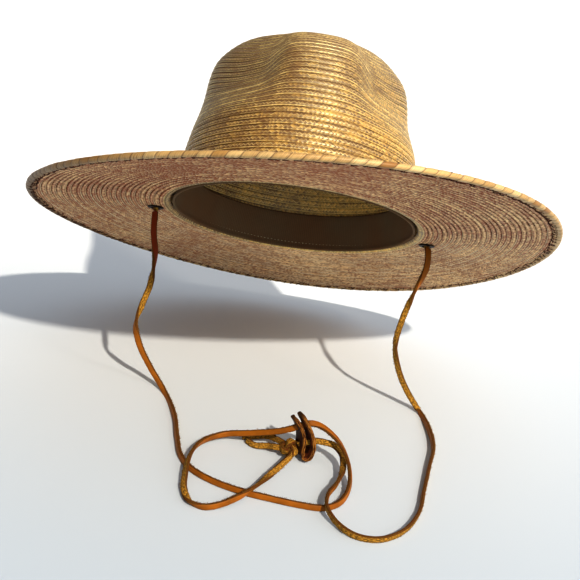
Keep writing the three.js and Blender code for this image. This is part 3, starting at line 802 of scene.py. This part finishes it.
def lay_edging(sizes):
    """A strip wound round the rim: each turn overlaps the one before, so the rim steps at every wrap."""
    wraps = round(RIM_LENGTH * MM / sizes.wrap_length)
    # Where the loops of one wrap lie, and how far each stands out: the strip dips at its joint
    a_wrap = (0.0, 0.05, 0.12, 0.3, 0.5, 0.7, 0.88, 0.96)
    stand = (-0.2, -0.04, 0.05, 0.1, 0.08, 0.05, 0.0, -0.08)
    steps = len(a_wrap)
    sides = 14
    rng = np.random.default_rng(11)
    own = rng.normal(0, 0.05, wraps)
    count = wraps * steps
    angles = math.pi + all_round(sides)
    phase = np.array([wrap + share for wrap in range(wraps) for share in a_wrap])
    out_by = np.array([height + own[wrap] for wrap in range(wraps) for height in stand])
    turn = (phase[:, None] + np.arange(sides)[None, :] / sides) * 2 * np.pi / wraps
    half_width = EDGE_HALF_WIDTH + out_by[:, None]
    half_height = EDGE_HALF_HEIGHT + out_by[:, None]
    aside = half_width * squarer(np.cos(angles)) - EDGE_HALF_WIDTH
    rise = half_height * squarer(np.sin(angles)) + STRAW / 2 + rim_lift(turn)
    points = oval(turn, RIM_SIDE + aside, RIM_FRONT + aside, rise)
    faces = []
    uv = []
    for i in range(count):
        low, high = phase[i], phase[i + 1] if i + 1 < count else wraps
        for k in range(sides):
            a, b = (i, k), ((i + 1) % count, k)
            if k + 1 < sides:
                c, d = ((i + 1) % count, k + 1), (i, k + 1)
            else:
                c, d = ((i + 1 + steps) % count, 0), ((i + steps) % count, 0)
            faces.append([j * sides + m for j, m in (a, d, c, b)])
            uv += [(low, k / sides), (low, (k + 1) / sides), (high, (k + 1) / sides), (high, k / sides)]
    return new_object("rim_edging", to_part(points.reshape(-1, 3)), faces, uv, "wraps")


def edging_material(cream):
    """Split palm leaf wound round the rim: glossy outside, cream with a few brown lengths, its fibres running
    with the strip and each joint darker; its left end is darkened with painted shade."""
    material, tree, shader = new_material(
        "wound_palm_strip", Roughness=0.42, IOR=1.48, Specular_IOR_Level=0.5)
    place = add_node(tree, "UVMap", uv_map="wraps")
    parts = add_node(tree, "SeparateXYZ", [place])
    along, around = parts.outputs[0], parts.outputs[1]
    wrap = add_node(tree, "Math", [along], operation="FLOOR")
    share = add_node(tree, "Math", [along], operation="FRACT")
    tone = add_node(tree, "TexWhiteNoise", {"W": wrap}, noise_dimensions="1D")
    kinds = add_node(tree, "ValToRGB", [tone.outputs[0]], stops=(
        (0, linear("#a0743f")), (0.04, linear("#b58c50")), (0.12, tuple(c * 0.82 for c in cream)),
        (0.6, tuple(cream)), (1, linear("#ddc593"))))
    fibre_way = add_node(tree, "Math", [along, 12.0], operation="MULTIPLY")
    round_way = add_node(tree, "Math", [around, 2.0], operation="MULTIPLY")
    fibre_place = add_node(tree, "CombineXYZ", [fibre_way, round_way])
    fibres = add_node(tree, "TexNoise", {"Vector": fibre_place, "Scale": 1.0, "Detail": 3.0},
                      noise_dimensions="2D")
    body = add_node(tree, "TexCoord").outputs["Object"]
    patches = add_node(tree, "TexNoise", {"Vector": body, "Scale": 22.0, "Detail": 2.0})
    dull = add_node(tree, "Math", [fibres, patches], operation="ADD")
    dull = add_node(tree, "Math", [dull, 1.8, -1.5], operation="MULTIPLY_ADD")
    # Painted shade: towards its left end the strip turns dark brown and its joints darker still
    sideways = add_node(tree, "SeparateXYZ", [body])
    painted_left_end_shade = add_node(tree, "MapRange", {
        "Value": sideways, "From Min": -0.1, "From Max": -0.16, "To Max": 0.6})
    dull = add_node(tree, "Math", [dull, painted_left_end_shade], operation="ADD")
    worn = add_node(tree, "Mix", {"Factor": dull, "A": kinds, "B": linear("#8f6a38")}, data_type="RGBA",
                    clamp_factor=True)
    off_middle = add_node(tree, "Math", [share, 0.5], operation="SUBTRACT")
    off_middle = add_node(tree, "Math", [off_middle], operation="ABSOLUTE")
    joint = add_node(tree, "MapRange", {
        "Value": off_middle, "From Min": 0.42, "From Max": 0.48, "To Max": 0.6})
    joint = add_node(tree, "Math", [painted_left_end_shade, 0.6, joint], operation="MULTIPLY_ADD")
    joint = add_node(tree, "Math", [joint, off_middle], operation="MULTIPLY")
    joint = add_node(tree, "Math", [joint, 2.0], operation="MULTIPLY", use_clamp=True)
    whole = add_node(tree, "Mix", {"Factor": joint, "A": worn, "B": linear("#4a2c14")}, data_type="RGBA")
    whole = add_node(tree, "Mix", {"Factor": painted_left_end_shade, "A": whole, "B": linear("#4e3516")}, data_type="RGBA")
    colour_and_relief(tree, shader, whole, fibres, 0.5, 0.0003)
    return material


def thread_stitches(name, starts, ends, lifts, thickness):
    """Short threads that rise a little between where each goes in and comes out."""
    arch = ((0.0, -0.5), (0.18, 0.75), (0.5, 1.0), (0.82, 0.75), (1.0, -0.5))
    starts, ends, lifts = (np.asarray(value, float) for value in (starts, ends, lifts))
    run = ends - starts
    run /= np.linalg.norm(run, axis=1, keepdims=True)
    aside = np.cross(run, lifts)
    aside /= np.linalg.norm(aside, axis=1, keepdims=True)
    rings = []
    three_sides = (math.pi / 2, math.pi * 7 / 6, math.pi * 11 / 6)
    for share, rise in arch:
        middle = starts + (ends - starts) * share + lifts * thickness * rise * 0.6
        rings.append(np.stack([middle + thickness / 2 * (aside * math.cos(a) + lifts * math.sin(a))
                               for a in three_sides], 1))
    points = np.stack(rings, 1)
    one = np.array([[ring * 3 + k, ring * 3 + (k + 1) % 3, ring * 3 + 3 + (k + 1) % 3, ring * 3 + 3 + k]
                    for ring in range(len(arch) - 1) for k in range(3)])
    size = len(arch) * 3
    first = np.arange(len(starts)) * size
    faces = (first[:, None, None] + one[None]).reshape(-1, 4).tolist()
    for start in first.tolist():
        faces.append([start + 2, start + 1, start])
        faces.append([start + size - 3, start + size - 2, start + size - 1])
    return new_object(name, to_part(points.reshape(-1, 3)), faces)


def thread_material(name, colour, scale):
    """Waxed cotton thread: matt, with the twist of its plies and a few lighter hairs."""
    material, tree, shader = new_material(name, Roughness=0.75, Specular_IOR_Level=0.25)
    body = add_node(tree, "TexCoord").outputs["Object"]
    twist = add_node(tree, "TexNoise", {"Vector": body, "Scale": scale, "Detail": 2.0})
    lighter = tuple(min(1, channel * 2.4 + 0.01) for channel in colour)
    share = add_node(tree, "Math", [twist, 2.2, -0.9], operation="MULTIPLY_ADD")
    whole = add_node(tree, "Mix", {"Factor": share, "A": colour, "B": lighter}, data_type="RGBA",
                     clamp_factor=True)
    colour_and_relief(tree, shader, whole, twist, 0.6, 0.0002)
    return material


def tape_material(name, colour):
    """Grosgrain cotton tape: matt, with ribs across it and the brown stains of wear."""
    material, tree, shader = new_material(name, Roughness=0.88, Specular_IOR_Level=0.2)
    place = add_node(tree, "UVMap", uv_map="rows")
    parts = add_node(tree, "SeparateXYZ", [place])
    rib = add_node(tree, "Math", [parts.outputs[0]], operation="FRACT")
    rib = add_node(tree, "Math", [rib, 0.5], operation="SUBTRACT")
    rib = add_node(tree, "Math", [rib], operation="ABSOLUTE")
    body = add_node(tree, "TexCoord").outputs["Object"]
    stain = add_node(tree, "TexNoise", {"Vector": body, "Scale": 30.0, "Detail": 4.0})
    stained = add_node(tree, "Math", [stain, 1.8, -0.5], operation="MULTIPLY_ADD")
    worn = add_node(tree, "Mix", {"Factor": stained, "A": colour, "B": linear("#6f5f47")}, data_type="RGBA",
                    clamp_factor=True)
    # The grooves between the ribs are darkened with painted shade
    groove = add_node(tree, "Math", [rib, 0.8], operation="MULTIPLY")
    whole = add_node(tree, "Mix", {"Factor": groove, "A": worn, "B": linear("#4b3f2e")}, data_type="RGBA")
    height = add_node(tree, "Math", [rib, -1.0], operation="MULTIPLY")
    colour_and_relief(tree, shader, whole, height, 0.6, 0.0004)
    return material


def cut_holes(piece, cutters):
    """Takes each cutter out of a piece for good."""
    for cutter in cutters:
        bpy.ops.object.select_all(action="DESELECT")
        bpy.context.view_layer.objects.active = piece
        piece.select_set(True)
        cut = piece.modifiers.new("hole", "BOOLEAN")
        cut.operation = "DIFFERENCE"
        cut.solver = "EXACT"
        cut.object = cutter
        bpy.ops.object.modifier_apply(modifier=cut.name)
        bpy.data.objects.remove(cutter, do_unlink=True)


def hole_cutter(middle, direction, radius, depth):
    """A round cutter of a hole, in metres."""
    turned = Vector(direction).to_track_quat("Z", "Y").to_euler()
    bpy.ops.object.select_all(action="DESELECT")
    bpy.ops.mesh.primitive_cylinder_add(
        vertices=40, radius=radius, depth=depth, location=middle, rotation=turned)
    return bpy.context.object


def turned_eyelet(name, side):
    """One eyelet: its closed outline, radius and height, spun round its axis, then laid into the brim."""
    outline = [(3.0, -0.5), (3.1, -1.0), (3.7, -1.25), (4.6, -1.15), (5.4, -0.75), (5.6, -0.38),
               (3.95, -0.32), (3.9, 0.9), (3.95, 2.12), (5.6, 2.18), (5.4, 2.55), (4.6, 2.95), (3.7, 3.05),
               (3.1, 2.8), (3.0, 2.3)]
    mesh = bpy.data.meshes.new(name)
    count = len(outline)
    edges = [(i, (i + 1) % count) for i in range(count)]
    mesh.from_pydata([(radius * MM, 0, height * MM) for radius, height in outline], edges, [])
    piece = bpy.data.objects.new(name, mesh)
    bpy.context.scene.collection.objects.link(piece)
    bpy.ops.object.select_all(action="DESELECT")
    bpy.context.view_layer.objects.active = piece
    piece.select_set(True)
    bpy.ops.object.mode_set(mode="EDIT")
    bpy.ops.mesh.select_all(action="SELECT")
    bpy.ops.mesh.spin(steps=40, angle=2 * math.pi, center=(0, 0, 0), axis=(0, 0, 1))
    bpy.ops.mesh.select_all(action="SELECT")
    bpy.ops.mesh.remove_doubles(threshold=1e-6)
    bpy.ops.mesh.normals_make_consistent(inside=False)
    bpy.ops.object.mode_set(mode="OBJECT")
    points = np.array([vertex.co for vertex in mesh.vertices]) / MM
    points += (side * EYELET_X, EYELET_Y, 0)
    mesh.vertices.foreach_set("co", to_part(points).ravel())
    mesh.update()
    return piece


class FEDORA_OT_lace(bpy.types.Operator):
    """Lay the chin lace from its knot round the hat and back, with its ends, slide and knot"""

    bl_idname = "fedora.lace"
    bl_label = "Lace"

    def execute(self, context):
        scene = context.scene
        sizes, colours = scene.fedora_sizes, scene.fedora_colours
        width, thickness = sizes.lace_width / MM, sizes.lace_thickness / MM
        # The cut edges' dark brown is partly the raw leather's own colour and partly painted shade along the
        # lace's sides
        leather = leather_material(
            "tanned_cowhide_thong", colours.grain, colours.suede, edge=linear("#5c220a"), roughness=0.5)
        points, facing = lace_route()
        run, places, lengths = lace_curve(points)
        turned = facing_at(facing, places)
        lace = ribbon("lace_thong", run, turned, width, thickness, LACE_RAGGED)
        finish_piece(lace, leather, "lace_leather", "chin_lace")
        fuzz = fibre_tufts("lace_fibres", run, turned, width, thickness, count=5200, seed=5)
        finish_piece(fuzz, leather, "lace_leather")
        for name, tail, node in (("lace_end_upper", UPPER_TAIL, "lace_tail_upper"),
                                 ("lace_end_lower", LOWER_TAIL, "lace_tail_lower")):
            tail_run = lace_curve(tail)[0]
            tail_facing = np.tile((0.5, 0.8, -0.3), (len(tail_run), 1))
            end = ribbon(name, tail_run, tail_facing, width, thickness, LACE_RAGGED)
            finish_piece(end, leather, "lace_leather", node)
        slide = self.slide(colours)
        knot = self.knot(leather)
        return {"FINISHED"}

    def slide(self, colours):
        """The folded slide: a strip bent in two, its ends splayed, with two round holes through it."""
        fold = [(21.4, -80, -98.4), (24.4, -80, -103.1), (27.6, -80, -109), (29.6, -80, -114.3),
                (30.2, -80, -121), (28.6, -80, -126.2), (25.4, -80, -126.6), (23.8, -80, -122.5),
                (23.6, -80, -115.5), (22.2, -80, -109.5), (20.2, -80, -105.2), (17.4, -80, -101.4)]
        run = lace_curve(fold, step=0.8)[0]
        across = (-0.42, 0.91, 0)
        facing = np.cross(np.gradient(run, axis=0), across)
        piece = ribbon("slide_strap", run, facing, width=12.5, thickness=2.8, ragged=0.1, seed=8)
        holes = (((33.5, -80, -101), (15.5, -80, -109.6)), ((40, -80, -113.7), (22.5, -80, -119)))
        cut_holes(piece, [
            hole_cutter(tuple(np.add(a, b) / 2 * MM), np.subtract(b, a), radius=2.4 * MM, depth=24 * MM)
            for a, b in holes])
        leather = leather_material(
            "waxed_saddle_leather", colours.slide, suede=linear("#7a3c14"), edge=linear("#a87432"),
            roughness=0.42)
        return finish_piece(piece, leather, "slide_leather", "lace_slide")

    def knot(self, leather):
        """The knot: the lace's two ends tied over themselves in one hard little bundle."""
        turn = np.linspace(0, 2 * np.pi, 121)[:-1]
        path = np.stack([np.sin(turn) + 2 * np.sin(2 * turn), np.cos(turn) - 2 * np.cos(2 * turn),
                         -1.3 * np.sin(3 * turn)], 1) * 1.6
        lean = Matrix.Rotation(math.radians(60), 3, "X") @ Matrix.Rotation(math.radians(35), 3, "Z")
        path = path @ np.array(lean).T
        middle = (17.2, -80, -123.4)
        bundle = ribbon("knot_bundle", path + middle, -path, width=5.2, thickness=2.8, ragged=0.16,
                        closed=True, seed=9)
        return finish_piece(bundle, leather, "lace_leather", "lace_knot")


class FEDORA_OT_edging(bpy.types.Operator):
    """Wind the strip round the rim and stitch it down"""

    bl_idname = "fedora.edging"
    bl_label = "Edging"

    def execute(self, context):
        scene = context.scene
        sizes, colours = scene.fedora_sizes, scene.fedora_colours
        edging = lay_edging(sizes)
        finish_piece(edging, edging_material(colours.edging), "edge_straw", "brim_edge")
        count = round(RIM_LENGTH * MM / sizes.stitch_pitch)
        rng = np.random.default_rng(21)
        thread = thread_material("waxed_cotton_thread", colours.thread, scale=900.0)
        # On each side of the brim, slanting stitches reach in from under the edging, and a run of
        # lengthwise ones lies beside them
        for name, height, way in (("stitches_under", -0.35, -1.0), ("stitches_over", STRAW + 0.35, 1.0)):
            turn = (np.arange(count) + rng.uniform(-0.35, 0.35, count)) * 2 * np.pi / count
            slant = rng.normal(0.35, 0.4, count) * 2 * np.pi / count
            inner = RIM_SIDE - rng.uniform(5.0, 7.4, count)
            outer = RIM_SIDE - rng.uniform(2.3, 3.2, count)
            starts = self.on_brim(turn, inner, height)
            ends = self.on_brim(turn + slant, outer, height + way * 0.65)
            lifts = np.tile((0, 0, way), (count, 1))
            running = self.on_brim(turn, inner + 0.6, height)
            onward = self.on_brim(turn + 0.75 * 2 * np.pi / count, inner + rng.uniform(-0.2, 1.8, count),
                                  height)
            stitches = thread_stitches(name, np.vstack([starts, running]), np.vstack([ends, onward]),
                                       np.vstack([lifts, lifts]), thickness=0.5)
            finish_piece(stitches, thread, "edge_straw")
        return {"FINISHED"}

    def on_brim(self, turn, side, height):
        """A place on the brim, from its distance to the hat's middle at the side."""
        front = side + RIM_FRONT - RIM_SIDE
        share = (side - CROWN_SIDE - SEAM_OUT) / (RIM_SIDE - UNDER_EDGING - CROWN_SIDE - SEAM_OUT)
        return oval(turn, side, front, height + brim_lift(turn, share))


class FEDORA_OT_sweatband(bpy.types.Operator):
    """Set the ribbed sweatband and its stitches inside the crown's foot"""

    bl_idname = "fedora.sweatband"
    bl_label = "Sweatband"

    def execute(self, context):
        # Outline of the band with its piping at the foot: inset from the crown's outside, and height
        outline = [(2.2, 1.2), (2.2, 9), (2.2, 17), (2.25, 25), (2.5, 25.9), (3.1, 25.9), (3.4, 25),
                   (3.4, 21), (3.4, 17), (3.4, 13), (3.4, 9), (3.4, 5), (3.5, 3), (3.8, 2.2), (4.0, 1.4),
                   (3.8, 0.7), (3.3, 0.35), (2.6, 0.4)]
        ribs = 340
        turn = all_round(260)
        heights = CROWN_RINGS[:, 0]
        loops = []
        for inset, height in outline:
            side, front, back = (np.interp(height, heights, CROWN_RINGS[:, k]) for k in (1, 2, 3))
            reach = np.where(np.cos(turn) > 0, front, back)
            loops.append(oval(turn, side - inset, reach - inset, height))
        levels = np.arange(len(outline), dtype=float)
        band = loft("sweat_tape", loops, np.full(len(outline), ribs), (levels, levels + 1), True)
        material = tape_material("grosgrain_cotton_tape", context.scene.fedora_colours.band)
        finish_piece(band, material, "sweatband_cloth", "sweatband")
        count = 190
        inset = 3.55
        height = 4.6
        turn = all_round(count)
        ahead = turn + 0.6 * 2 * np.pi / count
        starts, ends = (oval(place, CROWN_SIDE - inset, CROWN_FRONT - inset, height)
                        for place in (turn, ahead))
        inward = -oval(turn, 1, CROWN_FRONT / CROWN_SIDE, 0)
        inward /= np.linalg.norm(inward, axis=1, keepdims=True)
        stitches = thread_stitches("band_stitches", starts, ends, inward, thickness=0.55)
        thread = thread_material("ecru_cotton_thread", linear("#b9a887"), scale=700.0)
        finish_piece(stitches, thread, "sweatband_cloth")
        return {"FINISHED"}


class FEDORA_OT_eyelets(bpy.types.Operator):
    """Set the two black eyelets that the lace goes through"""

    bl_idname = "fedora.eyelets"
    bl_label = "Eyelets"

    def execute(self, context):
        # Brass pressed to shape and blackened: dark satin metal with brown rubbed edges
        material, tree, shader = new_material("blackened_brass", Roughness=0.42, Metallic=0.9)
        body = add_node(tree, "TexCoord").outputs["Object"]
        rub = add_node(tree, "TexNoise", {"Vector": body, "Scale": 420.0, "Detail": 3.0})
        worn = add_node(tree, "ValToRGB", [rub], stops=(
            (0, linear("#141110")), (0.5, linear("#221c18")), (1, linear("#6b5238"))))
        colour_and_relief(tree, shader, worn, rub, 0.3, 0.0002)
        for name, side in (("eyelet_left", -1), ("eyelet_right", 1)):
            finish_piece(turned_eyelet(name + "_ring", side), material, "eyelet_metal", name)
        return {"FINISHED"}


CAMERA_PLACE = Vector((-0.0218, -0.7071, 0.2490))
CAMERA_LOOK = Vector((0.035, 0.9211, -0.3878))
CAMERA_UP = Vector((-0.1396, 0.3888, 0.9107))
FOCAL_PIXELS = 1134.75
FRAME_PIXELS = 580
SENSOR_WIDTH = 36


class FEDORA_OT_camera(bpy.types.Operator):
    """Set the camera where the hat is looked at from: in front, above, and rolled a little"""

    bl_idname = "fedora.camera"
    bl_label = "Camera"

    def execute(self, context):
        data = bpy.data.cameras.new("view")
        data.sensor_width = SENSOR_WIDTH
        data.lens = SENSOR_WIDTH * FOCAL_PIXELS / FRAME_PIXELS
        data.clip_start = 0.05
        data.clip_end = 20
        camera = bpy.data.objects.new("view", data)
        context.scene.collection.objects.link(camera)
        look = CAMERA_LOOK.normalized()
        right = look.cross(CAMERA_UP).normalized()
        up = right.cross(look)
        turned = Matrix((right, up, -look)).transposed().to_4x4()
        camera.matrix_world = Matrix.Translation(CAMERA_PLACE) @ turned
        context.scene.camera = camera
        return {"FINISHED"}


# Ways towards the sun and towards the lamp at the side, and where on the hat the lamp is aimed, in metres
TO_SUN = Vector((0.5, -1.03, 1.0))
TO_SIDE_LAMP = Vector((0.647, -0.489, 0.581))
SIDE_LAMP_AIM = Vector((0, 0.035, 0.07))
SIDE_LAMP_FAR = 1.6


class FEDORA_OT_stage(bpy.types.Operator):
    """Set a plain pale floor and soft lights"""

    bl_idname = "fedora.stage"
    bl_label = "Stage"

    def execute(self, context):
        scene = context.scene
        bpy.ops.object.select_all(action="DESELECT")
        bpy.ops.mesh.primitive_plane_add(size=8, location=(0, 0, FLOOR_Z * MM))
        floor = context.object
        floor.name = "floor"
        bpy.ops.object.transform_apply(location=True, rotation=True, scale=True)
        # Matt painted board: nothing but its pale colour shows, and painted light makes it a little paler
        # towards the back
        material, tree, shader = new_material("pale_board", Roughness=0.9, Specular_IOR_Level=0.1)
        body = add_node(tree, "TexCoord").outputs["Object"]
        depth = add_node(tree, "SeparateXYZ", [body]).outputs[1]
        back = add_node(tree, "MapRange", {"Value": depth, "From Min": -0.25, "From Max": 0.6})
        paint = add_node(tree, "Mix", {
            "Factor": back, "A": scene.fedora_colours.floor, "B": linear("#f7faff")}, data_type="RGBA")
        tree.links.new(first_output(paint), shader.inputs["Base Color"])
        floor.data.materials.append(material)
        world = bpy.data.worlds.new("soft_room")
        world.use_nodes = True
        background = world.node_tree.nodes["Background"]
        background.inputs["Color"].default_value = (*linear("#f4f5f6"), 1)
        # The room is brighter to the right, so forms that face left fall into shade
        way = add_node(world.node_tree, "TexCoord").outputs["Generated"]
        sides = add_node(world.node_tree, "SeparateXYZ", [way])
        strength = add_node(world.node_tree, "MapRange", {
            "Value": sides.outputs[0], "From Min": -0.8, "From Max": 0.8, "To Min": 0.22, "To Max": 1.15})
        world.node_tree.links.new(strength.outputs[0], background.inputs["Strength"])
        scene.world = world
        # A soft sun from the right in front, and a narrow lamp that brightens the crown's right side
        key = bpy.data.lights.new("key", "SUN")
        key.energy = 3.7
        key.angle = math.radians(1.6)
        key.color = linear("#fff3df")
        lamp = bpy.data.objects.new("key", key)
        lamp.rotation_euler = TO_SUN.to_track_quat("Z", "Y").to_euler()
        scene.collection.objects.link(lamp)
        side = bpy.data.lights.new("side", "SPOT")
        side.energy = 105
        side.shadow_soft_size = 0.25
        side.spot_size = math.radians(10)
        side.spot_blend = 1
        side.color = linear("#fff1dc")
        lamp = bpy.data.objects.new("side", side)
        lamp.location = SIDE_LAMP_AIM + TO_SIDE_LAMP * SIDE_LAMP_FAR
        lamp.rotation_euler = TO_SIDE_LAMP.to_track_quat("Z", "Y").to_euler()
        scene.collection.objects.link(lamp)
        scene.view_settings.view_transform = "Standard"
        scene.view_settings.gamma = 0.8
        return {"FINISHED"}


OPERATORS = [FEDORA_OT_camera, FEDORA_OT_lace, FEDORA_OT_crown, FEDORA_OT_brim, FEDORA_OT_edging,
             FEDORA_OT_sweatband, FEDORA_OT_eyelets, FEDORA_OT_stage]


class FEDORA_PT_panel(bpy.types.Panel):
    """Lists the hat's pieces"""

    bl_idname = "FEDORA_PT_panel"
    bl_label = "Straw Fedora"
    bl_space_type = "VIEW_3D"
    bl_region_type = "UI"
    bl_category = "Straw Fedora"

    def draw(self, context):
        for operator in OPERATORS:
            self.layout.operator(operator.bl_idname)
        for group in (context.scene.fedora_sizes, context.scene.fedora_colours):
            for name in group.__annotations__:
                self.layout.prop(group, name)


CLASSES = [FedoraSizes, FedoraColours, *OPERATORS, FEDORA_PT_panel]


def register():
    for cls in CLASSES:
        bpy.utils.register_class(cls)
    bpy.types.Scene.fedora_sizes = PointerProperty(type=FedoraSizes)
    bpy.types.Scene.fedora_colours = PointerProperty(type=FedoraColours)


def unregister():
    del bpy.types.Scene.fedora_colours
    del bpy.types.Scene.fedora_sizes
    for cls in reversed(CLASSES):
        bpy.utils.unregister_class(cls)


def main():
    """Makes every piece in order."""
    register()
    for operator in OPERATORS:
        group, name = operator.bl_idname.split(".")
        getattr(getattr(bpy.ops, group), name)()


if __name__ == "__main__":
    main()
